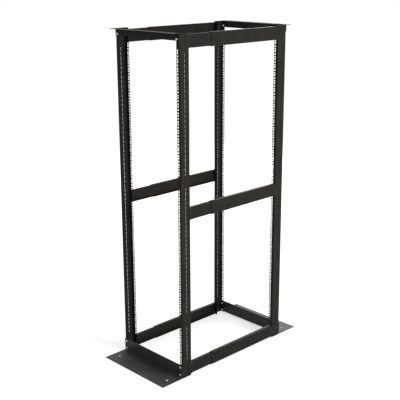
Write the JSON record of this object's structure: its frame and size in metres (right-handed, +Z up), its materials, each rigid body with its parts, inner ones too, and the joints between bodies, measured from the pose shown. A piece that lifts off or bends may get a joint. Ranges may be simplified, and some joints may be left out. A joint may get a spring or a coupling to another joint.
{
  "type": "four post open frame rack",
  "caption": "Four post open frame server rack of folded steel: channel posts punched for cage nuts, floor and top angles, telescoping side braces",
  "frame": {"origin": "on the floor, midway between the four posts", "axes": "+X to the right seen from the front, +Y from front to rear, +Z up"},
  "size_m": [0.504, 1.104, 1.873],
  "materials": {
    "post_coat": "black powder coat, fine texture, satin",
    "floor_angle_coat": "black powder coat, fine texture, satin",
    "top_angle_coat": "black powder coat, fine texture, satin",
    "brace_coat": "black powder coat, fine texture, satin"
  },
  "bodies": {
    "root": {"brace_bottom_left_inner": "brace_coat", "brace_bottom_left_outer": "brace_coat", "brace_bottom_right_inner": "brace_coat", "brace_bottom_right_outer": "brace_coat", "brace_middle_left_inner": "brace_coat", "brace_middle_left_outer": "brace_coat", "brace_middle_right_inner": "brace_coat", "brace_middle_right_outer": "brace_coat", "brace_top_left_inner": "brace_coat", "brace_top_left_outer": "brace_coat", "brace_top_right_inner": "brace_coat", "brace_top_right_outer": "brace_coat", "floor_angle_front": "floor_angle_coat", "floor_angle_rear": "floor_angle_coat", "post_front_left": "post_coat", "post_front_right": "post_coat", "post_rear_left": "post_coat", "post_rear_right": "post_coat", "top_angle_front": "top_angle_coat", "top_angle_rear": "top_angle_coat"}
  },
  "joints": []
}
